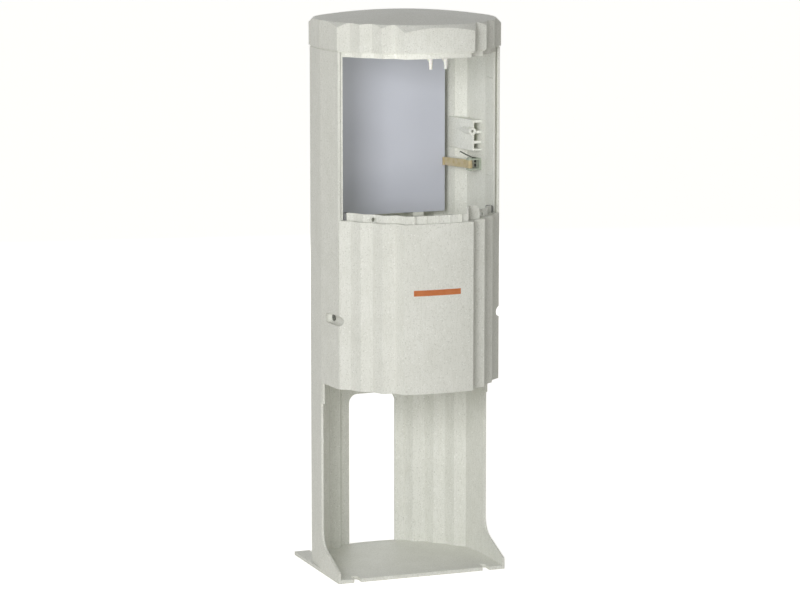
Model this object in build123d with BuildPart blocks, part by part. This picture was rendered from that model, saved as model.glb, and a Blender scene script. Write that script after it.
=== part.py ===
from build123d import *
import os

os.makedirs("parts", exist_ok=True)

# Cable pillar cabinet of moulded glass-fibre polyester, lengths in millimetres.
# X is to the right, the open front faces -Y, Z is up from the underside of the base plate.

# Overall sizes
base_width = 380
base_thickness = 8
base_front_reach = 20
base_rear_reach = 90
total_height = 1200
cover_bottom_z = 415
cover_height = 357
roof_height = 74
wall = 5
root_depth = 2.5

# Fluted plan, one quarter of it: ridge, corner, three terraces with a step after each, front arc.
# Each terrace ends so far in from the widest point and so far beyond the corner.
side_taper = 8
corner_y = 86
terraces = ((30, 18), (63.5, 57), (101.5, 88))
step_run = 11.5
step_rise = 25
arc_bulge = 6.5
flute_round = 2

# Clearances
seam_gap = 0.8
slide_clearance = 0.6
seat_clearance = 0.3
overrun = 10

# Lower bay of the shell
gusset_kink_z = 64
gusset_tip_z = 24
gusset_round = 45
window_width = 108
window_drop = 71
window_round = 20
anchor_slot_width = 16
anchor_slot_depth = 28
anchor_slot_inset = 43
edge_step_height = 45
edge_step_depth = 8

# Door opening: grooved posts of the shell, seat of the roof
post_groove_start = 4
post_groove_width = 3
post_width = 11
post_depth = 12
groove_depth = 8
roof_shadow_gap = 3

# Corner scoops and the screws that hold the lower cover
scoop_rise = 145
scoop_radius = 10.8
scoop_run = 62
scoop_bite = 1
scoop_wall = 5
cover_screw_run = 48
cover_screw_diameter = 8
cover_screw_head = 12.5
cover_screw_head_height = 5
counterbore_diameter = 15
seat_depth = 1
washer_diameter = 17
washer_thickness = 1.6
nut_width = 13
nut_thickness = 6
nut_round = 1
tab_wall = 4
tab_run = 66
cover_screw_length = 19
cover_screw_socket = 6
cover_screw_socket_depth = 3
cover_return_depth = 16
cover_return_margin = 6

# Sill on top of the lower cover
ledge_depth = 15
lip_height = 16
lip_wall = 4
sill_hole_inset = 69
sill_hole_run = 46
sill_hole_rise = 5.5
sill_hole_diameter = 9
sill_boss_diameter = 15
sill_boss_rise = 1.5
sill_rib_pitch = 26
sill_rib_count = 5
sill_rib_width = 2
sill_rib_rise = 1
ear_inset = 104
ear_width = 42
ear_height = 29
ear_round = 14
peg_inset = 28
peg_setback = 9
peg_diameter = 15
peg_height = 15
peg_chamfer = 1
peg_bore = 6
peg_bore_depth = 8
peg_spigot = 6
peg_ledge_width = 26

# Roof
roof_overhang = 2
roof_wall = 5
roof_rim_height = 45
roof_crown_radius = 1200
roof_oval_side = 15
roof_oval_front = 8.5
roof_seat_inset = 1.25
skirt_depth = 10
skirt_wall = 4

# Door catch under the front of the roof
catch_width = 56
catch_thickness = 7
catch_height = 22
catch_foot_depth = 26
catch_foot_height = 5
prong_spacing = 33
prong_length = 22
prong_root = 4.5
prong_tip = 3.2
prong_web = 3
prong_web_height = 13
catch_gap = 0.9
catch_screw_rise = 13
catch_screw_diameter = 4
catch_screw_x = 20
catch_screw_length = 11
catch_screw_head = 7.5
catch_screw_head_height = 2.5

# Mounting plate and the moulded bosses that carry it
plate_side_gap = 58
plate_head_gap = 18
plate_drop = 17
plate_setback = 14
plate_thickness = 3
plate_round = 4
plate_boss_margin = 34
plate_boss_inset = 50
plate_boss_diameter = 22
plate_boss_bore = 6
plate_rest_width = 24
plate_rest_height = 8
plate_rest_margin = 62

# Catch housing moulded on the right wall
housing_rise = 121
housing_height = 66
housing_front_y = 18
housing_run = 97
housing_front_inset = 26
housing_rear_inset = 44
housing_cheek = 2.5
housing_pockets = ((4, 11), (21, 16), (43, 17))
housing_pocket_depth = 30
housing_boss_inset = 28
housing_boss_rise = 42
housing_boss_diameter = 16
housing_boss_bore = 6
housing_boss_reach = 3
wall_bar_rise_low = 72
wall_bar_drop_high = 60
wall_bar_setback = 28
wall_bar_length = 44
wall_bar_width = 3
wall_bar_relief = 1.2

# Retaining arms of the mounting plate, one at each side, hinged on a bracket on the side wall
arm_rise = 83
arm_height = 17.5
arm_thickness = 3
arm_eye = 11
arm_lap = 0.5
arm_tip_width = 5
pivot_inset = 30
pin_diameter = 6
pin_fit = 0.05
pin_head = 9
pin_head_height = 2
bracket_face_inset = 12
bracket_front_y = 17
bracket_rear_y = 42
lug_thickness = 3.2
lug_gap = 0.3
lug_rear_y = 33
bracket_screw_spacing = 9.5
bracket_screw_diameter = 4
bracket_screw_head = 7
bracket_screw_head_height = 2.4
bracket_screw_length = 8
spring_wire = 2.6
spring_bends = ((11, -5, 0), (6, 3, 0), (-10.5, 30.5, 11))

# Orange label on the lower cover
label_width = 104
label_x = -5.6
label_height = 12
label_drop = 143.5
label_thickness = 0.6

# Sizes that follow from those above
both_sides = (("left", -1), ("right", 1))
base_half = base_width / 2
corner_x = base_half - side_taper
terrace_ends = [(base_half - inset, corner_y + beyond) for inset, beyond in terraces]
base_front = corner_y + base_front_reach
base_rear = corner_y + base_rear_reach
cover_top_z = cover_bottom_z + cover_height
roof_edge_z = total_height - roof_height
shell_top_z = roof_edge_z - roof_shadow_gap
skirt_low_z = shell_top_z - skirt_depth
arc_start_x = terrace_ends[-1][0] - step_run
arc_start_y = terrace_ends[-1][1] + step_rise
arc_y = arc_start_y + arc_bulge
cover_rear_y = -corner_y - seam_gap
# inner edge of the front of the side wall, where the wall turns in along the first terrace
turn_x = corner_x - terrace_ends[0][0]
turn_y = terrace_ends[0][1] - corner_y
front_inner_x = corner_x - wall * (turn_x**2 + turn_y**2) ** 0.5 / turn_y
slide_x = front_inner_x - slide_clearance
# door opening
post_inner_x = corner_x - post_width
post_bottom_z = cover_top_z + slide_clearance
peg_x = base_half - peg_inset
peg_y = corner_y - peg_setback
# corner scoops
scoop_x = corner_x + scoop_bite
scoop_z = cover_bottom_z + scoop_rise
scoop_end_y = scoop_run - corner_y - scoop_radius
cover_screw_y = cover_screw_run - corner_y
tab_rear_y = tab_run - corner_y
bulge_radius = scoop_radius + scoop_wall
tab_bore_radius = bulge_radius + slide_clearance
tab_radius = tab_bore_radius + tab_wall
tab_inner_x = scoop_x - tab_radius
screw_seat_x = scoop_x - scoop_radius - seat_depth
# mounting plate and arms
plate_half = base_half - plate_side_gap
plate_bottom_z = cover_top_z - plate_drop
plate_top_z = skirt_low_z - plate_head_gap
plate_y = corner_y + plate_setback
pivot_x = base_half - pivot_inset
pivot_y = (bracket_front_y + lug_rear_y) / 2
arm_z = cover_top_z + arm_rise
arm_rear_x = plate_half - arm_lap
arm_front_y = plate_y - seat_clearance - arm_thickness
bracket_face_x = base_half - bracket_face_inset
bracket_low_z = arm_z - lug_gap - lug_thickness
bracket_high_z = arm_z + arm_height + lug_gap + lug_thickness
bracket_screw_y = (lug_rear_y + bracket_rear_y) / 2
bracket_screw_levels = [arm_z + arm_height / 2 + side * bracket_screw_spacing / 2 for side in (-1, 1)]
# catch housing and bars on the right wall
housing_bottom_z = cover_top_z + housing_rise
housing_rear_y = housing_front_y + housing_run
housing_inner_x = base_half - housing_front_inset
wall_bar_front_y = wall_bar_setback - corner_y
wall_bar_levels = (cover_top_z + wall_bar_rise_low, skirt_low_z - wall_bar_drop_high)


def quarter_points():
    points = [(base_half, 0), (corner_x, corner_y)]
    for x, y in terrace_ends:
        points.append((x, y))
        points.append((x - step_run, y + step_rise))
    return points


def outline(grow, rounded=True):
    """Closed fluted plan, the same at front and rear, grown outwards by the given amount."""
    rear = quarter_points()
    front = [(x, -y) for x, y in reversed(rear[1:])]
    with BuildSketch() as plan:
        with BuildLine():
            side = Polyline(*front, *rear)
            mirror(side, about=Plane.YZ)
            ThreePointArc(rear[-1], (0, arc_y), (-arc_start_x, arc_start_y))
            ThreePointArc((-arc_start_x, -arc_start_y), (0, -arc_y), front[0])
        make_face()
        if grow:
            offset(amount=grow, kind=Kind.INTERSECTION)
        if rounded:
            fillet(plan.vertices(), radius=flute_round)
    return plan.sketch


def ring(outer_inset, inner_inset):
    """Band of the fluted plan between two insets."""
    with BuildSketch() as band:
        add(outline(-outer_inset))
        add(outline(-inner_inset), mode=Mode.SUBTRACT)
    return band.sketch


def band_of(face, low_z, high_z):
    """Upright wall over a plan face, added to the part block that calls it."""
    return extrude(face.moved(Location((0, 0, low_z))), amount=high_z - low_z)


def wall_inner_x(y):
    """Inner face of the right side wall at a depth between the two corners."""
    taper = (base_half - corner_x) / corner_y
    return base_half - wall * (1 + taper**2) ** 0.5 - taper * abs(y)


def along_y(radius, x, z, front_y, rear_y, mode=Mode.ADD):
    """Round bar parallel to Y."""
    with Locations((x, (front_y + rear_y) / 2, z)):
        Cylinder(radius, rear_y - front_y, rotation=(90, 0, 0), mode=mode)


def along_x(radius, one_x, other_x, y, z, mode=Mode.ADD):
    """Round bar parallel to X."""
    with Locations(((one_x + other_x) / 2, y, z)):
        Cylinder(radius, abs(other_x - one_x), rotation=(0, 90, 0), mode=mode)


def block(low, high, mode=Mode.ADD):
    """Rectangular block between two opposite corners."""
    middle = [(a + b) / 2 for a, b in zip(low, high)]
    size = [abs(b - a) for a, b in zip(low, high)]
    with Locations(tuple(middle)):
        Box(*size, mode=mode)


def write(piece, name):
    piece.part.label = name
    export_step(piece.part, f"parts/{name}.step")


def within(face, low_z, high_z):
    """Keeps only what stands over the plan face, in the part block that calls it."""
    extrude(face.moved(Location((0, 0, low_z))), amount=high_z - low_z, mode=Mode.INTERSECT)


# Grooved front posts, inside the side walls where the door would close
with BuildPart() as door_posts:
    for name, side in both_sides:
        block(
            (side * post_inner_x, -corner_y, post_bottom_z),
            (side * base_half, -corner_y + post_depth, shell_top_z),
        )
    within(outline(-root_depth), post_bottom_z, shell_top_z)

with BuildPart() as post_grooves:
    band_of(ring(post_groove_start, post_groove_start + post_groove_width), post_bottom_z, shell_top_z)
    block(
        (-base_half, -corner_y, post_bottom_z),
        (base_half, -corner_y + groove_depth, shell_top_z),
        mode=Mode.INTERSECT,
    )

# Rounded bulges behind the corner scoops, kept inside the outer face of the side walls
with BuildPart() as scoop_bulges:
    for name, side in both_sides:
        along_y(bulge_radius, side * scoop_x, scoop_z, -corner_y, scoop_end_y)
        with Locations((side * scoop_x, scoop_end_y, scoop_z)):
            Sphere(bulge_radius)
    within(outline(0), scoop_z - base_half, scoop_z + base_half)
    block((-base_width, -corner_y, 0), (base_width, corner_y, total_height), mode=Mode.INTERSECT)

# Catch housing on the right wall: three pockets open to the front and a screw boss beside them
with BuildPart() as catch_housing:
    with BuildSketch(Plane.XY.offset(housing_bottom_z)):
        with BuildLine():
            Polyline(
                (housing_inner_x, housing_front_y),
                (base_half, housing_front_y),
                (base_half, housing_rear_y),
                (base_half - housing_rear_inset, housing_rear_y),
                close=True,
            )
        make_face()
    extrude(amount=housing_height)
    housing_boss_x = base_half - housing_boss_inset
    housing_boss_z = housing_bottom_z + housing_boss_rise
    along_y(housing_boss_diameter / 2, housing_boss_x, housing_boss_z, housing_front_y, housing_rear_y)
    within(outline(-root_depth), housing_bottom_z, housing_bottom_z + housing_height)
    for low, height in housing_pockets:
        block(
            (housing_inner_x + housing_cheek, housing_front_y, housing_bottom_z + low),
            (wall_inner_x(housing_front_y), housing_front_y + housing_pocket_depth, housing_bottom_z + low + height),
            mode=Mode.SUBTRACT,
        )
    boss_face_y = housing_front_y - housing_boss_reach
    boss_end_y = housing_front_y + housing_pocket_depth
    along_y(housing_boss_diameter / 2, housing_boss_x, housing_boss_z, boss_face_y, boss_end_y)
    along_y(housing_boss_bore / 2, housing_boss_x, housing_boss_z, boss_face_y, boss_end_y, mode=Mode.SUBTRACT)

# Bosses behind the mounting plate and the shelves under its lower edge
with BuildPart() as plate_supports:
    plate_rear_y = plate_y + plate_thickness
    for name, side in both_sides:
        boss_x = side * (plate_half - plate_boss_margin)
        for z in (plate_bottom_z + plate_boss_inset, plate_top_z - plate_boss_inset):
            along_y(plate_boss_diameter / 2, boss_x, z, plate_rear_y, arc_y)
            along_y(plate_boss_bore / 2, boss_x, z, plate_rear_y,
                    plate_rear_y + plate_boss_diameter, mode=Mode.SUBTRACT)
        rest_x = side * (plate_half - plate_rest_margin)
        block(
            (rest_x - plate_rest_width / 2, plate_y - plate_thickness, plate_bottom_z - plate_rest_height),
            (rest_x + plate_rest_width / 2, arc_y, plate_bottom_z),
        )
    within(outline(-root_depth), 0, total_height)


# Low horizontal bars on the inside of the right wall
with BuildPart() as wall_bars:
    for z in wall_bar_levels:
        block(
            (post_inner_x, wall_bar_front_y, z - wall_bar_width / 2),
            (base_half, wall_bar_front_y + wall_bar_length, z + wall_bar_width / 2),
        )
    within(ring(root_depth, wall + wall_bar_relief), 0, total_height)


# Shell: fluted back, side walls, base plate and gussets, one moulding
with BuildPart() as rear_shell:
    band_of(ring(0, wall), 0, shell_top_z)
    # side view of what is open at the front: the door and cover opening, and the lower bay
    with BuildSketch(Plane.YZ.offset(-base_width)):
        with BuildLine():
            Polyline(
                (-corner_y, total_height),
                (-corner_y, cover_bottom_z),
                (-edge_step_depth, cover_bottom_z),
                (-edge_step_depth, cover_bottom_z - edge_step_height),
                (0, cover_bottom_z - edge_step_height),
                (0, -wall),
                (-2 * base_width, -wall),
                (-2 * base_width, total_height),
                close=True,
            )
        make_face()
    extrude(amount=2 * base_width, mode=Mode.SUBTRACT)
    add(door_posts.part)
    add(post_grooves.part, mode=Mode.SUBTRACT)
    # base plate
    with BuildSketch():
        with Locations((0, (base_rear - base_front) / 2)):
            Rectangle(base_width, base_rear + base_front)
        add(outline(0))
        with Locations((0, -base_front - arc_y)):
            Rectangle(2 * base_width, 2 * arc_y, mode=Mode.SUBTRACT)
    extrude(amount=base_thickness)
    # gussets that carry the side walls forward to the front corners of the plate
    with BuildSketch(Plane.YZ.offset(base_half - wall)) as gusset:
        with BuildLine():
            Polyline(
                (wall, 0),
                (-base_front, 0),
                (-base_front, gusset_tip_z),
                (0, gusset_kink_z),
                (0, gusset_kink_z + gusset_round),
                (wall, gusset_kink_z + gusset_round),
                close=True,
            )
        make_face()
        fillet(gusset.vertices().sort_by_distance((0, gusset_kink_z))[0], radius=gusset_round)
        fillet(gusset.vertices().sort_by_distance((-base_front, gusset_tip_z))[0], radius=wall)
    gusset_plate = extrude(amount=wall)
    mirror(gusset_plate, about=Plane.YZ)
    # window in the back of the lower bay
    window_top_z = cover_bottom_z - window_drop
    with BuildSketch(Plane.XZ.offset(-arc_y - wall)) as window:
        with Locations((0, (base_thickness + window_top_z) / 2)):
            Rectangle(window_width, window_top_z - base_thickness)
        fillet(window.vertices().group_by(Axis.Y)[-1], radius=window_round)
    extrude(amount=arc_y, mode=Mode.SUBTRACT)
    # open slots for the anchor bolts at the front and rear edges of the plate
    with BuildSketch():
        for name, side in both_sides:
            for edge in (-base_front, base_rear):
                with Locations((side * (base_half - anchor_slot_inset), edge)):
                    SlotOverall(2 * anchor_slot_depth, anchor_slot_width, rotation=90)
    extrude(amount=base_thickness, mode=Mode.SUBTRACT)
    # corner scoops with the seats and holes of the cover screws
    add(scoop_bulges.part)
    for name, side in both_sides:
        along_y(scoop_radius, side * scoop_x, scoop_z, -arc_y, scoop_end_y, mode=Mode.SUBTRACT)
        with Locations((side * scoop_x, scoop_end_y, scoop_z)):
            Sphere(scoop_radius, mode=Mode.SUBTRACT)
        along_x(counterbore_diameter / 2, side * screw_seat_x, side * base_half,
                cover_screw_y, scoop_z, mode=Mode.SUBTRACT)
        along_x(cover_screw_diameter / 2 + seat_clearance, side * (screw_seat_x - overrun), side * base_half,
                cover_screw_y, scoop_z, mode=Mode.SUBTRACT)
    add(catch_housing.part)
    add(plate_supports.part)
    add(wall_bars.part)
    # blind holes in the side walls for the screws of the arm brackets
    for name, side in both_sides:
        for z in bracket_screw_levels:
            along_x(bracket_screw_diameter / 2, side * bracket_face_x,
                    side * (bracket_face_x + bracket_screw_length), bracket_screw_y, z, mode=Mode.SUBTRACT)
write(rear_shell, "rear_shell")


# Tabs that reach back round the scoop bulges, and the returns inside the side walls
with BuildPart() as cover_tabs:
    for name, side in both_sides:
        along_y(tab_radius, side * scoop_x, scoop_z, cover_rear_y - tab_wall, tab_rear_y)
        block(
            (side * tab_inner_x, cover_rear_y, scoop_z - washer_diameter / 2),
            (side * scoop_x, tab_rear_y, scoop_z + washer_diameter / 2),
        )
    block((-slide_x, -arc_y, cover_bottom_z), (slide_x, 0, cover_top_z), mode=Mode.INTERSECT)
with BuildPart() as cover_returns:
    for name, side in both_sides:
        block(
            (side * (slide_x - tab_wall), cover_rear_y - tab_wall, cover_bottom_z + cover_return_margin),
            (side * slide_x, cover_rear_y + cover_return_depth, cover_top_z - wall),
        )
with BuildPart() as cover_scoop_backs:
    for name, side in both_sides:
        along_y(bulge_radius, side * scoop_x, scoop_z, -terrace_ends[0][1] - tab_wall, cover_rear_y)
    within(outline(-root_depth), cover_bottom_z, cover_top_z)
with BuildPart() as peg_ledges:
    for name, side in both_sides:
        block(
            (side * (peg_x - peg_ledge_width / 2), -peg_y - peg_ledge_width / 2, cover_top_z - wall),
            (side * slide_x, -peg_y + peg_ledge_width / 2, cover_top_z),
        )

with BuildPart() as lip_ear:
    with BuildSketch(Plane.XZ) as ear_face:
        with Locations((base_half - ear_inset, cover_top_z - wall + (ear_height + wall) / 2)):
            Rectangle(ear_width, ear_height + wall)
        fillet(ear_face.vertices().group_by(Axis.Y)[-1], radius=ear_round)
    extrude(amount=arc_y)
    within(ring(ledge_depth - lip_wall, ledge_depth), cover_top_z - wall, cover_top_z + ear_height)

# Lower front cover: fluted front, ledge, door lip, side returns and screw tabs, one moulding
with BuildPart() as lower_front_cover:
    band_of(ring(0, wall), cover_bottom_z, cover_top_z)
    band_of(ring(root_depth, ledge_depth), cover_top_z - wall, cover_top_z)
    band_of(ring(ledge_depth - lip_wall, ledge_depth), cover_top_z - wall, cover_top_z + lip_height)
    block((-base_width, cover_rear_y, 0), (base_width, base_width, total_height), mode=Mode.SUBTRACT)
    # ribs on the front of the lip
    lip_front_y = -arc_y + ledge_depth - lip_wall
    for number in range(sill_rib_count):
        rib_x = (number - (sill_rib_count - 1) / 2) * sill_rib_pitch
        block(
            (rib_x - sill_rib_width / 2, lip_front_y - sill_rib_rise, cover_top_z - wall),
            (rib_x + sill_rib_width / 2, lip_front_y + lip_wall / 2, cover_top_z + lip_height),
        )
    # rounded ear on the right of the lip
    add(lip_ear.part)
    # bosses and holes through the lip
    hole_z = cover_top_z + sill_hole_rise
    hole_y = -corner_y - sill_hole_run
    for name, side in both_sides:
        hole_x = side * (base_half - sill_hole_inset)
        along_y(sill_boss_diameter / 2, hole_x, hole_z, hole_y - sill_boss_rise, hole_y + wall)
        along_y(sill_hole_diameter / 2, hole_x, hole_z, hole_y - overrun, hole_y + wall + overrun,
                mode=Mode.SUBTRACT)
    add(peg_ledges.part)
    add(cover_returns.part)
    add(cover_tabs.part)
    add(cover_scoop_backs.part)
    for name, side in both_sides:
        # clearance round the bulge of the shell, the scoop itself, and the slot for the screw
        along_y(tab_bore_radius, side * scoop_x, scoop_z, cover_rear_y, 0, mode=Mode.SUBTRACT)
        along_y(scoop_radius, side * scoop_x, scoop_z, -arc_y, cover_rear_y, mode=Mode.SUBTRACT)
        slot_half = cover_screw_diameter / 2 + seat_clearance
        along_x(slot_half, side * scoop_x, side * (tab_inner_x - overrun), cover_screw_y, scoop_z,
                mode=Mode.SUBTRACT)
        block(
            (side * scoop_x, cover_screw_y, scoop_z - slot_half),
            (side * (tab_inner_x - overrun), 0, scoop_z + slot_half),
            mode=Mode.SUBTRACT,
        )
        # holes for the spigots of the door pegs
        with Locations((side * peg_x, -peg_y, cover_top_z)):
            Hole(peg_spigot / 2, depth=wall)
write(lower_front_cover, "lower_front_cover")


# Socket screws, plain washers and square nuts that clamp the cover tabs to the shell
with BuildPart() as cover_screws:
    for name, side in both_sides:
        head_x = screw_seat_x + cover_screw_head_height
        along_x(cover_screw_head / 2, side * screw_seat_x, side * head_x, cover_screw_y, scoop_z)
        along_x(cover_screw_diameter / 2, side * (screw_seat_x - cover_screw_length), side * screw_seat_x,
                cover_screw_y, scoop_z)
        plane = Plane(origin=(side * head_x, cover_screw_y, scoop_z), z_dir=(side, 0, 0))
        with BuildSketch(plane):
            RegularPolygon(cover_screw_socket / 2, 6)
        extrude(amount=-cover_screw_socket_depth, mode=Mode.SUBTRACT)
write(cover_screws, "cover_screws")

washer_outer_x = tab_inner_x - seat_clearance
with BuildPart() as cover_washers:
    for name, side in both_sides:
        washer_inner_x = washer_outer_x - washer_thickness
        along_x(washer_diameter / 2, side * washer_inner_x, side * washer_outer_x, cover_screw_y, scoop_z)
        along_x(cover_screw_diameter / 2 + pin_fit, side * washer_inner_x, side * washer_outer_x,
                cover_screw_y, scoop_z, mode=Mode.SUBTRACT)
write(cover_washers, "cover_washers")

with BuildPart() as cover_nuts:
    for name, side in both_sides:
        nut_outer_x = washer_outer_x - washer_thickness
        nut_inner_x = nut_outer_x - nut_thickness
        block(
            (side * nut_inner_x, cover_screw_y - nut_width / 2, scoop_z - nut_width / 2),
            (side * nut_outer_x, cover_screw_y + nut_width / 2, scoop_z + nut_width / 2),
        )
        along_x(cover_screw_diameter / 2 + pin_fit, side * nut_inner_x, side * nut_outer_x,
                cover_screw_y, scoop_z, mode=Mode.SUBTRACT)
    fillet(cover_nuts.edges().filter_by(Axis.X).filter_by(GeomType.LINE), radius=nut_round)
write(cover_nuts, "cover_nuts")


# Stub pegs on the ledge, at the corners of the door opening
for name, side in both_sides:
    with BuildPart() as door_peg:
        with Locations((side * peg_x, -peg_y, cover_top_z + peg_height / 2)):
            Cylinder(peg_diameter / 2, peg_height)
        chamfer(door_peg.edges().group_by(Axis.Z)[-1], length=peg_chamfer)
        with Locations((side * peg_x, -peg_y, cover_top_z + peg_height)):
            Hole(peg_bore / 2, depth=peg_bore_depth)
        with Locations((side * peg_x, -peg_y, cover_top_z - wall / 2)):
            Cylinder(peg_spigot / 2 - pin_fit, wall)
    write(door_peg, f"door_peg_{name}")


# Orange label bonded to the front of the cover
label_z = cover_top_z - label_drop
with BuildPart() as orange_label:
    band_of(outline(label_thickness), label_z - label_height / 2, label_z + label_height / 2)
    extrude(outline(0).moved(Location((0, 0, cover_bottom_z))), amount=cover_height, mode=Mode.SUBTRACT)
    block(
        (label_x - label_width / 2, -2 * arc_y, cover_bottom_z),
        (label_x + label_width / 2, 0, cover_top_z),
        mode=Mode.INTERSECT,
    )
write(orange_label, "orange_label")


def roof_form(inset, low_z):
    """Fluted block under a bevelled oval edge and a shallow crown, shrunk by the inset."""
    plan = outline(roof_overhang - inset, rounded=not inset)
    # half axes of the bevel where it meets the widest flute, level with the top of the rim
    oval_x = base_half + roof_oval_side - inset
    oval_y = arc_y + roof_oval_front - inset
    at_low = roof_rim_height
    at_high = roof_rim_height - roof_height
    with BuildPart() as form:
        band_of(plan, low_z, total_height)
        with BuildSketch(Plane.XY.offset(roof_edge_z - overrun)):
            Ellipse(oval_x + at_low + overrun, oval_y + at_low + overrun)
        with BuildSketch(Plane.XY.offset(total_height)):
            Ellipse(oval_x + at_high, oval_y + at_high)
        loft(mode=Mode.INTERSECT)
        with Locations((0, 0, total_height - roof_crown_radius)):
            Sphere(roof_crown_radius - inset, mode=Mode.INTERSECT)
    return form.part


# Roof cap: fluted rim, bevel and crown, with a seat ring on the shell and a skirt inside it
skirt_outer = wall + slide_clearance
skirt_inner = skirt_outer + skirt_wall
catch_screw_z = skirt_low_z + catch_screw_rise
with BuildPart() as roof_skirt:
    band_of(ring(skirt_outer, skirt_inner), skirt_low_z, roof_edge_z + roof_wall)
    for name, side in both_sides:
        block(
            (0, -corner_y - slide_clearance, skirt_low_z),
            (side * base_half, -corner_y + post_depth + slide_clearance, shell_top_z),
            mode=Mode.SUBTRACT,
        )
with BuildPart() as roof_cap:
    add(roof_form(0, roof_edge_z))
    add(roof_form(roof_wall, roof_edge_z), mode=Mode.SUBTRACT)
    band_of(ring(-roof_overhang, skirt_inner), roof_edge_z, roof_edge_z + roof_wall)
    band_of(ring(roof_seat_inset, skirt_inner), shell_top_z, roof_edge_z + roof_wall)
    add(roof_skirt.part)
    for name, side in both_sides:
        along_y(catch_screw_diameter / 2, side * catch_screw_x, catch_screw_z,
                -arc_y + wall, -arc_y + wall + skirt_inner, mode=Mode.SUBTRACT)
write(roof_cap, "roof_cap")


# Two-pronged catch for the door lock, screwed to the back of the front skirt
catch_front_y = -arc_y + skirt_inner + catch_gap
with BuildPart() as door_catch:
    block(
        (-catch_width / 2, catch_front_y, skirt_low_z),
        (catch_width / 2, catch_front_y + catch_thickness, skirt_low_z + catch_height),
    )
    block(
        (-catch_width / 2, catch_front_y, skirt_low_z),
        (catch_width / 2, catch_front_y + catch_foot_depth, skirt_low_z + catch_foot_height),
    )
    for name, side in both_sides:
        prong_x = side * prong_spacing / 2
        prong_y = catch_front_y + catch_thickness / 2
        with Locations((prong_x, prong_y, skirt_low_z - prong_length / 2)):
            Cone(prong_tip, prong_root, prong_length)
        with BuildSketch(Plane.YZ.offset(prong_x - prong_web / 2)):
            with BuildLine():
                Polyline(
                    (prong_y, skirt_low_z),
                    (prong_y, skirt_low_z - prong_web_height),
                    (catch_front_y + catch_foot_depth, skirt_low_z),
                    close=True,
                )
            make_face()
        extrude(amount=prong_web)
        along_y(catch_screw_diameter / 2 + pin_fit, side * catch_screw_x, catch_screw_z,
                catch_front_y, catch_front_y + catch_thickness, mode=Mode.SUBTRACT)
write(door_catch, "door_catch")

with BuildPart() as catch_screws:
    catch_rear_y = catch_front_y + catch_thickness
    for name, side in both_sides:
        along_y(catch_screw_head / 2, side * catch_screw_x, catch_screw_z,
                catch_rear_y, catch_rear_y + catch_screw_head_height)
        along_y(catch_screw_diameter / 2, side * catch_screw_x, catch_screw_z,
                catch_rear_y - catch_screw_length, catch_rear_y)
        with Locations((side * catch_screw_x, catch_rear_y + catch_screw_head_height, catch_screw_z)):
            Box(catch_screw_head, catch_screw_head_height, catch_screw_head_height / 2, mode=Mode.SUBTRACT)
write(catch_screws, "catch_screws")


# Flat sheet that carries the switchgear
with BuildPart() as mounting_plate:
    with BuildSketch(Plane.XZ.offset(-plate_y - plate_thickness)):
        with Locations((0, (plate_bottom_z + plate_top_z) / 2)):
            RectangleRounded(2 * plate_half, plate_top_z - plate_bottom_z, plate_round)
    extrude(amount=plate_thickness)
write(mounting_plate, "mounting_plate")


def side_plane(side, z):
    """Plan plane for the right side, or its mirror image for the left."""
    return Plane(origin=(0, 0, z), x_dir=(side, 0, 0), z_dir=(0, 0, side))


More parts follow.
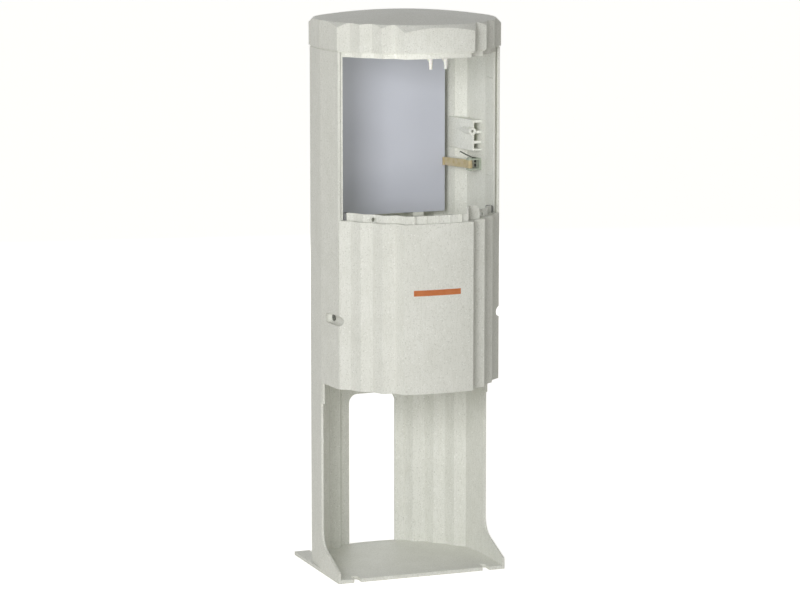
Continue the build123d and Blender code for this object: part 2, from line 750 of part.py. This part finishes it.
for name, side in both_sides:
    # Yellow-chromated strip with a rolled eye, its tip laid over the edge of the mounting plate
    with BuildPart() as plate_arm:
        with BuildSketch(side_plane(side, arm_z)):
            with BuildLine():
                spine = Line((pivot_x, pivot_y), (arm_rear_x, arm_front_y))
                offset(amount=arm_thickness / 2, side=Side.BOTH, closed=True)
            make_face()
            with Locations((pivot_x, pivot_y)):
                Circle(arm_eye / 2)
            with Locations((arm_rear_x - arm_tip_width / 2, arm_front_y + arm_thickness / 2)):
                Rectangle(arm_tip_width, arm_thickness)
            with Locations((pivot_x, pivot_y)):
                Circle(pin_diameter / 2 + pin_fit, mode=Mode.SUBTRACT)
        extrude(amount=side * arm_height)
    write(plate_arm, f"plate_arm_{name}")

    # Zinc bracket on the side wall with two lugs for the pivot pin
    with BuildPart() as arm_bracket:
        with BuildSketch(side_plane(side, bracket_low_z)):
            with BuildLine():
                Polyline(
                    (bracket_face_x, bracket_front_y),
                    (wall_inner_x(bracket_front_y), bracket_front_y),
                    (wall_inner_x(bracket_rear_y), bracket_rear_y),
                    (bracket_face_x, bracket_rear_y),
                    close=True,
                )
            make_face()
        extrude(amount=side * (bracket_high_z - bracket_low_z))
        for low in (bracket_low_z, bracket_high_z - lug_thickness):
            with BuildSketch(side_plane(side, low)):
                with BuildLine():
                    Polyline(
                        (bracket_face_x, bracket_front_y),
                        (bracket_face_x, lug_rear_y),
                        (pivot_x, lug_rear_y),
                        (pivot_x, bracket_front_y),
                        close=True,
                    )
                make_face()
                with Locations((pivot_x, pivot_y)):
                    Circle((lug_rear_y - bracket_front_y) / 2)
                with Locations((pivot_x, pivot_y)):
                    Circle(pin_diameter / 2 + pin_fit, mode=Mode.SUBTRACT)
            extrude(amount=side * lug_thickness)
        for z in bracket_screw_levels:
            along_x(bracket_screw_diameter / 2 + pin_fit, side * bracket_face_x, side * base_half,
                    bracket_screw_y, z, mode=Mode.SUBTRACT)
    write(arm_bracket, f"arm_bracket_{name}")

    # Headed pin through the lugs and the eye
    with BuildPart() as arm_pin:
        pin_low_z = bracket_low_z - pin_head_height
        pin_high_z = bracket_high_z + pin_head_height
        with Locations((side * pivot_x, pivot_y, (pin_low_z + pin_high_z) / 2)):
            Cylinder(pin_diameter / 2, pin_high_z - pin_low_z)
        for z in (pin_low_z + pin_head_height / 2, pin_high_z - pin_head_height / 2):
            with Locations((side * pivot_x, pivot_y, z)):
                Cylinder(pin_head / 2, pin_head_height)
    write(arm_pin, f"arm_pin_{name}")

    # Wire spring that lies on the upper lug and rises towards the plate
    with BuildPart() as arm_spring:
        wire_z = bracket_high_z + spring_wire / 2 + pin_fit
        points = [(side * (pivot_x + x), pivot_y + y, wire_z + rise) for x, y, rise in spring_bends]
        with BuildLine():
            FilletPolyline(*points, radius=2 * spring_wire)
        with BuildSketch(Plane(origin=points[0], z_dir=Vector(*points[1]) - Vector(*points[0]))):
            Circle(spring_wire / 2)
        sweep()
    write(arm_spring, f"arm_spring_{name}")


# Pan-head screws of both brackets
with BuildPart() as bracket_screws:
    for name, side in both_sides:
        for z in bracket_screw_levels:
            head_x = bracket_face_x - bracket_screw_head_height
            along_x(bracket_screw_head / 2, side * head_x, side * bracket_face_x, bracket_screw_y, z)
            along_x(bracket_screw_diameter / 2, side * bracket_face_x,
                    side * (bracket_face_x + bracket_screw_length), bracket_screw_y, z)
            with Locations((side * head_x, bracket_screw_y, z)):
                Box(bracket_screw_head_height, bracket_screw_head, bracket_screw_head_height / 2, mode=Mode.SUBTRACT)
write(bracket_screws, "bracket_screws")
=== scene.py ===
import math
import bpy
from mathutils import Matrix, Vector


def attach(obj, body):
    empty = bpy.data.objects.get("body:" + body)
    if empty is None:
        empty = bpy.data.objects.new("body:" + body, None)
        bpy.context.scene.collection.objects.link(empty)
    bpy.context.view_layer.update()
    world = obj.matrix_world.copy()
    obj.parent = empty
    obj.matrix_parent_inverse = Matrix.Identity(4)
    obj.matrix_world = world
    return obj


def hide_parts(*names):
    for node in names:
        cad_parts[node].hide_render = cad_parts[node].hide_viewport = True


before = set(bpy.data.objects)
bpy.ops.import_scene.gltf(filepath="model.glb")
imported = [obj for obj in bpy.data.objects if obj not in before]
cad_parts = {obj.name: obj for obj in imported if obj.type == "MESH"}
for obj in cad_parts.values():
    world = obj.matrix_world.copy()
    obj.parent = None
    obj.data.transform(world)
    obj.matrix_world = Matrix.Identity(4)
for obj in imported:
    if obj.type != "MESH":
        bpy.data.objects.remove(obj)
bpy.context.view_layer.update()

# Camera: stands in front of the pillar and to its left, a little above the roof, with a long lens.
# The picture is 800 x 600, and the lens is given by its focal length in those pixels.
picture_width_px = 800
focal_px = 3278.0
camera_place = (-2.502, -6.437, 1.702)
camera_yaw = math.radians(21.16)
camera_pitch = math.radians(9.216)

camera_data = bpy.data.cameras.new("view_of_pillar")
camera_data.sensor_width = 36.0
camera_data.lens = focal_px * camera_data.sensor_width / picture_width_px
camera_data.clip_end = 60.0
camera = bpy.data.objects.new("view_of_pillar", camera_data)
camera.location = camera_place
camera.rotation_euler = (math.pi / 2 - camera_pitch, 0.0, -camera_yaw)
bpy.context.scene.collection.objects.link(camera)
bpy.context.scene.camera = camera
bpy.context.scene.view_settings.view_transform = "Standard"


# Studio: white seamless paper under and behind the pillar. The eye sees it as plain white, with the
# pillar's soft shadow; a soft box stands in front on the left, and the room fills in the rest.
def linear(hex_code, alpha=1.0):
    """sRGB hex code to the linear colour that the shaders take."""
    channels = [int(hex_code[i:i + 2], 16) / 255 for i in (1, 3, 5)]
    turned = [c / 12.92 if c <= 0.04045 else ((c + 0.055) / 1.055) ** 2.4 for c in channels]
    return (*turned, alpha)


def node(tree, kind, links=None, stops=(), **settings):
    """Adds one node. Settings are its own values, links fill its inputs with a socket or a constant,
    and stops are the (place, colour) pairs of a colour ramp."""
    made = tree.nodes.new(kind)
    for key, value in settings.items():
        setattr(made, key, value)
    for key, value in (links or {}).items():
        if isinstance(value, bpy.types.NodeSocket):
            tree.links.new(value, made.inputs[key])
        else:
            made.inputs[key].default_value = value
    if stops:
        band = made.color_ramp.elements
        while len(band) < len(stops):
            band.new(0.5)
        for element, (place, colour) in zip(band, stops):
            element.position = place
            element.color = colour
    return made


def new_material(name):
    """Empty material with an output; returns it with its tree and its principled shader."""
    made = bpy.data.materials.new(name)
    made.use_nodes = True
    tree = made.node_tree
    tree.nodes.clear()
    shader = node(tree, "ShaderNodeBsdfPrincipled")
    node(tree, "ShaderNodeOutputMaterial", {"Surface": shader.outputs["BSDF"]})
    return made, tree, shader


def seen_directly(tree):
    """Is 1 for what the camera sees straight, mirrored or through glass, and 0 for all other light."""
    ray = node(tree, "ShaderNodeLightPath").outputs
    straight = node(tree, "ShaderNodeMath", {0: ray["Is Camera Ray"], 1: ray["Is Glossy Ray"]},
                    operation="MAXIMUM")
    either = node(tree, "ShaderNodeMath", {0: straight.outputs[0], 1: ray["Is Transmission Ray"]},
                  operation="MAXIMUM")
    return either.outputs[0]


pure_white = (1.0, 1.0, 1.0, 1.0)
paper_reach = 30.0
paper_glow = 0.74
paper, tree, shader = new_material("white_studio_paper")
shader.inputs["Base Color"].default_value = linear("#F3F1EA")
shader.inputs["Roughness"].default_value = 0.9
glow = node(tree, "ShaderNodeMath", {0: seen_directly(tree), 1: paper_glow}, operation="MULTIPLY")
plain = node(tree, "ShaderNodeEmission", {"Color": pure_white, "Strength": glow.outputs[0]})
paper_sum = node(tree, "ShaderNodeAddShader", {0: shader.outputs[0], 1: plain.outputs[0]})
tree.links.new(paper_sum.outputs[0], tree.nodes["Material Output"].inputs["Surface"])
floor_mesh = bpy.data.meshes.new("studio_floor")
floor_mesh.from_pydata(
    [(x * paper_reach, y * paper_reach, 0.0) for x, y in ((-1, -1), (1, -1), (1, 1), (-1, 1))],
    [], [(0, 1, 2, 3)])
floor_mesh.materials.append(paper)
floor = bpy.data.objects.new("studio_floor", floor_mesh)
bpy.context.scene.collection.objects.link(floor)

# The room's own light is weak and a little warm. Light bounces often between the pale walls of the
# two bays, so the paths are let run long.
room_tone = (0.99, 0.98, 0.93, 1.0)
room_light = 0.235
bpy.context.scene.cycles.max_bounces = 16
bpy.context.scene.cycles.diffuse_bounces = 12
world = bpy.data.worlds.new("studio_air")
bpy.context.scene.world = world
world.use_nodes = True
tree = world.node_tree
tree.nodes.clear()
around = node(tree, "ShaderNodeBackground", {"Color": room_tone, "Strength": room_light})
white = node(tree, "ShaderNodeBackground", {"Color": pure_white, "Strength": 1.0})
air = node(tree, "ShaderNodeMixShader", {0: seen_directly(tree), 1: around.outputs[0], 2: white.outputs[0]})
node(tree, "ShaderNodeOutputWorld", {"Surface": air.outputs[0]})

# Soft boxes: name, place and target in metres, width and height in metres, watts. The key stands in
# front on the left. Small cards hang in the door bay and the lower bay, and a scrim lights the back.
soft_boxes = (
    ("key_soft_box", (-2.875, -3.957, 1.640), (0.0, 0.0, 0.6), 1.5, 1.8, 130.0),
    ("front_scrim", (-0.685, -4.876, 1.468), (0.0, 0.0, 0.6), 4.0, 2.6, 10.0),
    ("bay_card", (-0.10, -0.185, 0.98), (0.15, 0.03, 0.99), 0.20, 0.24, 0.19),
    ("base_card", (-0.12, -0.19, 0.36), (0.06, 0.0, 0.0), 0.12, 0.10, 0.13),
    ("rear_scrim", (0.9, 4.6, 1.7), (0.0, 0.0, 0.6), 3.0, 2.4, 42.0),
)
for name, place, target, width, height, power in soft_boxes:
    lamp = bpy.data.lights.new(name, "AREA")
    lamp.shape = "RECTANGLE"
    lamp.size = width
    lamp.size_y = height
    lamp.energy = power
    soft_box = bpy.data.objects.new(name, lamp)
    soft_box.location = place
    back = Vector(place) - Vector(target)
    soft_box.rotation_euler = back.to_track_quat("Z", "Y").to_euler()
    soft_box.visible_camera = False
    soft_box.visible_glossy = False
    bpy.context.scene.collection.objects.link(soft_box)


# Rear shell, roof cap and lower front cover: sheet moulding compound, polyester with chopped glass,
# hot pressed. It is pale grey with a warm tinge, satin, and freckled by fibre ends and filler.

# Clouds mark where the resin flowed in the press. Freckles are filler and fibre ends of about 1 mm,
# drawn larger so that they show. Veins are bundles of glass under the skin, drawn out by the flow.
cloud_size = 0.060
freckle_size = 0.0028
vein_size = 0.010
vein_stretch = 0.2
fleck_spacing = 0.009
press_edge_radius = 0.0012
ripple_depth = 0.0004
# strengths of the masks that lay one tint over another
off, half, on = (0, 0, 0, 1), (0.5, 0.5, 0.5, 1), (1, 1, 1, 1)


def pressed_polyester(name, shift):
    """The moulding's own material. Each piece takes another part of the pattern, moved by the shift."""
    made, tree, shader = new_material(name)
    place = node(tree, "ShaderNodeTexCoord")
    moved = node(tree, "ShaderNodeMapping", {"Vector": place.outputs["Object"], "Location": shift})
    at = moved.outputs["Vector"]
    clouds = node(tree, "ShaderNodeTexNoise",
                  {"Vector": at, "Scale": 1 / cloud_size, "Detail": 3.0, "Roughness": 0.6})
    body = node(tree, "ShaderNodeValToRGB", {"Fac": clouds.outputs["Fac"]},
                stops=[(0.30, linear("#E1E2DB")), (0.70, linear("#E8E9E3"))])
    freckles = node(tree, "ShaderNodeTexNoise",
                    {"Vector": at, "Scale": 1 / freckle_size, "Detail": 2.0, "Roughness": 0.65})
    dark = node(tree, "ShaderNodeValToRGB", {"Fac": freckles.outputs["Fac"]},
                stops=[(0.56, off), (0.72, on)])
    drawn_out = node(tree, "ShaderNodeMapping", {"Vector": at, "Scale": (1.0, 1.0, vein_stretch)})
    veins = node(tree, "ShaderNodeTexNoise",
                 {"Vector": drawn_out.outputs["Vector"], "Scale": 1 / vein_size, "Detail": 4.0,
                  "Roughness": 0.7})
    vein = node(tree, "ShaderNodeValToRGB", {"Fac": veins.outputs["Fac"]},
                stops=[(0.47, off), (0.50, half), (0.53, off)])
    flecks = node(tree, "ShaderNodeTexVoronoi", {"Vector": at, "Scale": 1 / fleck_spacing, "Randomness": 1.0})
    pale = node(tree, "ShaderNodeValToRGB", {"Fac": flecks.outputs["Distance"]},
                stops=[(0.10, on), (0.20, off)])

    # a colour Mix node takes its two colours on sockets 6 and 7, and gives its result on 2
    tone = body.outputs["Color"]
    for mask, tint in ((dark, "#C8C9C1"), (vein, "#D2D3CA"), (pale, "#F0F1EC")):
        laid = node(tree, "ShaderNodeMix", {0: mask.outputs["Color"], 6: tone, 7: linear(tint)},
                    data_type="RGBA")
        tone = laid.outputs[2]
    tree.links.new(tone, shader.inputs["Base Color"])
    rough = node(tree, "ShaderNodeMapRange",
                 {"Value": freckles.outputs["Fac"], "To Min": 0.42, "To Max": 0.58})
    tree.links.new(rough.outputs["Result"], shader.inputs["Roughness"])
    shader.inputs["IOR"].default_value = 1.5
    # the press tool leaves rounded edges, and the skin ripples by a few hundredths of a millimetre
    edge = node(tree, "ShaderNodeBevel", {"Radius": press_edge_radius}, samples=4)
    ripple = node(tree, "ShaderNodeBump",
                  {"Height": freckles.outputs["Fac"], "Normal": edge.outputs["Normal"],
                   "Strength": 0.10, "Distance": ripple_depth})
    tree.links.new(ripple.outputs["Normal"], shader.inputs["Normal"])
    return made


def dress(finish, *names):
    """Gives CAD nodes their material."""
    for name in names:
        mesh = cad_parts[name].data
        mesh.materials.clear()
        mesh.materials.append(finish)


dress(pressed_polyester("pressed_polyester_shell", (0.0, 0.0, 0.0)), "rear_shell")
dress(pressed_polyester("pressed_polyester_roof", (0.31, 0.17, 0.05)), "roof_cap")
dress(pressed_polyester("pressed_polyester_cover", (0.13, 0.47, 0.29)), "lower_front_cover")


# Mounting plate: flat steel sheet with a bluish-grey powder coat, cured to a smooth satin skin.
# The coat has a fine orange peel. The sheet stands on two shelves behind the door opening, against
# four bosses.
def mottled_finish(name, patch_size, detail, tones, roughness, metallic=0.0):
    """Material whose tone drifts over the piece in patches of about the given size."""
    made, tree, shader = new_material(name)
    place = node(tree, "ShaderNodeTexCoord")
    patches = node(tree, "ShaderNodeTexNoise",
                   {"Vector": place.outputs["Object"], "Scale": 1 / patch_size, "Detail": detail})
    tone = node(tree, "ShaderNodeValToRGB", {"Fac": patches.outputs["Fac"]},
                stops=[(at, linear(tint)) for at, tint in tones])
    tree.links.new(tone.outputs["Color"], shader.inputs["Base Color"])
    shader.inputs["Metallic"].default_value = metallic
    shader.inputs["Roughness"].default_value = roughness
    return made


orange_peel_size = 0.002
orange_peel_depth = 0.0002
coat = mottled_finish("powder_coated_sheet", patch_size=0.150, detail=1.0,
                      tones=[(0.3, "#BDC0CB"), (0.7, "#C4C7D2")], roughness=0.34)
tree = coat.node_tree
place = node(tree, "ShaderNodeTexCoord")
peel = node(tree, "ShaderNodeTexNoise",
            {"Vector": place.outputs["Object"], "Scale": 1 / orange_peel_size, "Detail": 2.0})
skin = node(tree, "ShaderNodeBump",
            {"Height": peel.outputs["Fac"], "Strength": 0.06, "Distance": orange_peel_depth})
tree.links.new(skin.outputs["Normal"], tree.nodes["Principled BSDF"].inputs["Normal"])
dress(coat, "mounting_plate")


# Retaining arms: strips of spring steel, zinc plated and yellow chromated, with a rolled eye.
# The chromate gives a straw colour that drifts towards pink and green, dulled by handling.
chromate = mottled_finish(
    "yellow_chromated_zinc", patch_size=0.012, detail=3.0,
    tones=[(0.30, "#BFAE86"), (0.50, "#CDBF9A"), (0.70, "#C9BBA8")], roughness=0.45, metallic=0.35)
dress(chromate, "plate_arm_left", "plate_arm_right")


# Brackets, pivot pins, and the washers and nuts of the cover: zinc plated steel. Its passivated skin
# has gone a dull grey-green.
zinc = mottled_finish("dull_zinc_plate", patch_size=0.005, detail=3.0,
                      tones=[(0.3, "#A3AC9E"), (0.7, "#BAC1B4")], roughness=0.5, metallic=0.3)
dress(zinc, "arm_bracket_left", "arm_bracket_right", "arm_pin_left", "arm_pin_right", "cover_washers",
      "cover_nuts")


# Arm springs: steel wire, drawn through a die and bent cold. Each lies on the upper lug of its bracket
# and rises towards the plate. It is oiled and dark, with a metal sheen.
wire = mottled_finish("oiled_spring_wire", patch_size=0.002, detail=2.0,
                      tones=[(0.3, "#6E716D"), (0.7, "#858883")], roughness=0.35, metallic=0.9)
dress(wire, "arm_spring_left", "arm_spring_right")


# Cover screws: socket screws of hardened steel, set in the corner scoops. Their dark oxide skin stands
# in the weather and has gone grey.
weathered = mottled_finish("weathered_dark_oxide", patch_size=0.003, detail=3.0,
                           tones=[(0.35, "#6C6E69"), (0.75, "#868882")], roughness=0.5, metallic=0.4)
dress(weathered, "cover_screws")


# Small pan-head screws, four in the arm brackets and two in the door catch: cold-headed steel with a
# black oxide skin, slotted. One form is set on every seat; each head is domed and its slot is sunk.
oxide = mottled_finish("black_oxide_steel", patch_size=0.003, detail=3.0,
                       tones=[(0.35, "#3A3B3A"), (0.75, "#5A5B58")], roughness=0.42, metallic=0.6)
# shares of the head's height: a straight rim, a slope and a flatter crown
rim_share, slope_share, crown_share = 0.45, 0.30, 0.25
# shares of the head's radius: where the slope and the crown end, and the size of the slot
slope_end, crown_end, slot_width, slot_length = 0.90, 0.62, 0.30, 3.0
sides_of_round = 40
welding_distance = 1e-6


def screw_form_group():
    """Geometry node group that sets a slotted pan-head screw on each point, along its turned Z."""
    group = bpy.data.node_groups.new("pan_head_screws", "GeometryNodeTree")
    sockets = group.interface
    sockets.new_socket("Seats", in_out="INPUT", socket_type="NodeSocketGeometry")
    for text in ("Head Radius", "Head Height", "Shank Radius", "Shank Length"):
        sockets.new_socket(text, in_out="INPUT", socket_type="NodeSocketFloat")
    sockets.new_socket("Finish", in_out="INPUT", socket_type="NodeSocketMaterial")
    sockets.new_socket("Screws", in_out="OUTPUT", socket_type="NodeSocketGeometry")
    given = node(group, "NodeGroupInput").outputs
    radius, height = given["Head Radius"], given["Head Height"]
    shank_radius, shank_length = given["Shank Radius"], given["Shank Length"]

    # the other measures of the form are shares of the given ones
    measures = {}
    for measure, whole, share in (
        ("rim height", height, rim_share),
        ("slope height", height, slope_share),
        ("slope top", height, rim_share + slope_share),
        ("crown height", height, crown_share),
        ("slope radius", radius, slope_end),
        ("crown radius", radius, crown_end),
        ("slot width", radius, slot_width),
        ("slot length", radius, slot_length),
        ("shank foot", shank_length, -1.0),
    ):
        taken = node(group, "ShaderNodeMath", {0: whole, 1: share}, operation="MULTIPLY")
        measures[measure] = taken.outputs[0]

    # the solid screw is four turned lengths: foot radius, top radius, length and rise of each
    body = node(group, "GeometryNodeMeshBoolean", operation="UNION", solver="EXACT")
    for foot_radius, top_radius, length, rise in (
        (radius, radius, measures["rim height"], 0.0),
        (radius, measures["slope radius"], measures["slope height"], measures["rim height"]),
        (measures["slope radius"], measures["crown radius"], measures["crown height"],
         measures["slope top"]),
        (shank_radius, shank_radius, shank_length, measures["shank foot"]),
    ):
        turned = node(group, "GeometryNodeMeshCone",
                      {"Vertices": sides_of_round, "Radius Top": top_radius,
                       "Radius Bottom": foot_radius, "Depth": length})
        at = node(group, "ShaderNodeCombineXYZ", {"Z": rise})
        raised = node(group, "GeometryNodeTransform",
                      {"Geometry": turned.outputs["Mesh"], "Translation": at.outputs[0]})
        group.links.new(raised.outputs[0], body.inputs["Mesh 2"])
    slot_size = node(group, "ShaderNodeCombineXYZ",
                     {"X": measures["slot width"], "Y": measures["slot length"], "Z": height})
    slot = node(group, "GeometryNodeMeshCube", {"Size": slot_size.outputs[0]})
    at_crown = node(group, "ShaderNodeCombineXYZ", {"Z": height})
    raised_slot = node(group, "GeometryNodeTransform",
                       {"Geometry": slot.outputs["Mesh"], "Translation": at_crown.outputs[0]})
    slotted = node(group, "GeometryNodeMeshBoolean",
                   {"Mesh 1": body.outputs["Mesh"], "Mesh 2": raised_slot.outputs[0]},
                   operation="DIFFERENCE", solver="EXACT")
    turn = node(group, "GeometryNodeInputNamedAttribute", {"Name": "turn"}, data_type="FLOAT_VECTOR")
    placed = node(group, "GeometryNodeInstanceOnPoints",
                  {"Points": given["Seats"], "Instance": slotted.outputs["Mesh"],
                   "Rotation": turn.outputs["Attribute"]})
    real = node(group, "GeometryNodeRealizeInstances", {"Geometry": placed.outputs["Instances"]})
    welded = node(group, "GeometryNodeMergeByDistance",
                  {"Geometry": real.outputs["Geometry"], "Distance": welding_distance})
    painted = node(group, "GeometryNodeSetMaterial",
                   {"Geometry": welded.outputs["Geometry"], "Material": given["Finish"]})
    node(group, "NodeGroupOutput", {"Screws": painted.outputs["Geometry"]})
    return group


def set_screws(node_name, seats, turns, sizes):
    """Sets the screws on their seats and bakes them to one plain mesh in place of the CAD node."""
    points = bpy.data.meshes.new(node_name + "_seats")
    points.from_pydata(seats, [], [])
    turn = points.attributes.new("turn", "FLOAT_VECTOR", "POINT")
    for at, angles in zip(turn.data, turns):
        at.vector = angles
    holder = bpy.data.objects.new(node_name + "_detailed", points)
    bpy.context.scene.collection.objects.link(holder)
    setter = holder.modifiers.new("screws", "NODES")
    setter.node_group = screw_group
    values = {**sizes, "Finish": oxide}
    for item in screw_group.interface.items_tree:
        if item.in_out == "INPUT" and item.name in values:
            setter[item.identifier] = values[item.name]
    bpy.context.view_layer.update()
    baked = bpy.data.meshes.new_from_object(holder.evaluated_get(bpy.context.evaluated_depsgraph_get()))
    holder.modifiers.remove(setter)
    baked.validate()
    holder.data = baked
    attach(holder, "housing")
    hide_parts(node_name)


screw_group = screw_form_group()
quarter_turn = math.pi / 2
# heads on the inner faces of the brackets, two on each side, one above the other
bracket_face_x, bracket_screw_y = 0.178, 0.0375
bracket_screw_z, half_spacing = 0.86375, 0.00475
bracket_seats, bracket_turns = [], []
for side in (-1, 1):
    for rise in (-half_spacing, half_spacing):
        bracket_seats.append((side * bracket_face_x, bracket_screw_y, bracket_screw_z + rise))
        bracket_turns.append((0.0, -side * quarter_turn, 0.0))
set_screws("bracket_screws", bracket_seats, bracket_turns,
           {"Head Radius": 0.0035, "Head Height": 0.0024, "Shank Radius": 0.002, "Shank Length": 0.008})
# heads on the rear face of the catch, side by side
catch_screw_x, catch_face_y, catch_screw_z = 0.020, -0.188, 1.126
catch_seats = [(side * catch_screw_x, catch_face_y, catch_screw_z) for side in (-1, 1)]
set_screws("catch_screws", catch_seats, [(-quarter_turn, 0.0, 0.0)] * len(catch_seats),
           {"Head Radius": 0.00375, "Head Height": 0.0025, "Shank Radius": 0.002, "Shank Length": 0.011})


# Door pegs: moulded dark grey nylon, pressed into the ledge of the cover at its two ends. Handling
# has scuffed them to a satin grey.
nylon = mottled_finish("moulded_dark_nylon", patch_size=0.003, detail=3.0,
                       tones=[(0.3, "#77787A"), (0.7, "#8B8C8D")], roughness=0.5)
dress(nylon, "door_peg_left", "door_peg_right")


# Door catch: two-pronged block, injection moulded in natural white nylon and screwed to the front of
# the roof from behind. A little light passes under its skin.
natural = mottled_finish("moulded_natural_nylon", patch_size=0.004, detail=2.0,
                         tones=[(0.3, "#D3D3CD"), (0.7, "#DEDED9")], roughness=0.45)
under_skin = natural.node_tree.nodes["Principled BSDF"].inputs
under_skin["Subsurface Weight"].default_value = 0.15
under_skin["Subsurface Scale"].default_value = 0.002
dress(natural, "door_catch")


# Label: a bare strip of orange vinyl film, cut and bonded to the cover. It is smooth, a little shiny
# and slightly faded.
film = mottled_finish("orange_vinyl_film", patch_size=0.015, detail=2.0,
                      tones=[(0.3, "#BD6A35"), (0.7, "#C57643")], roughness=0.35)
dress(film, "orange_label")
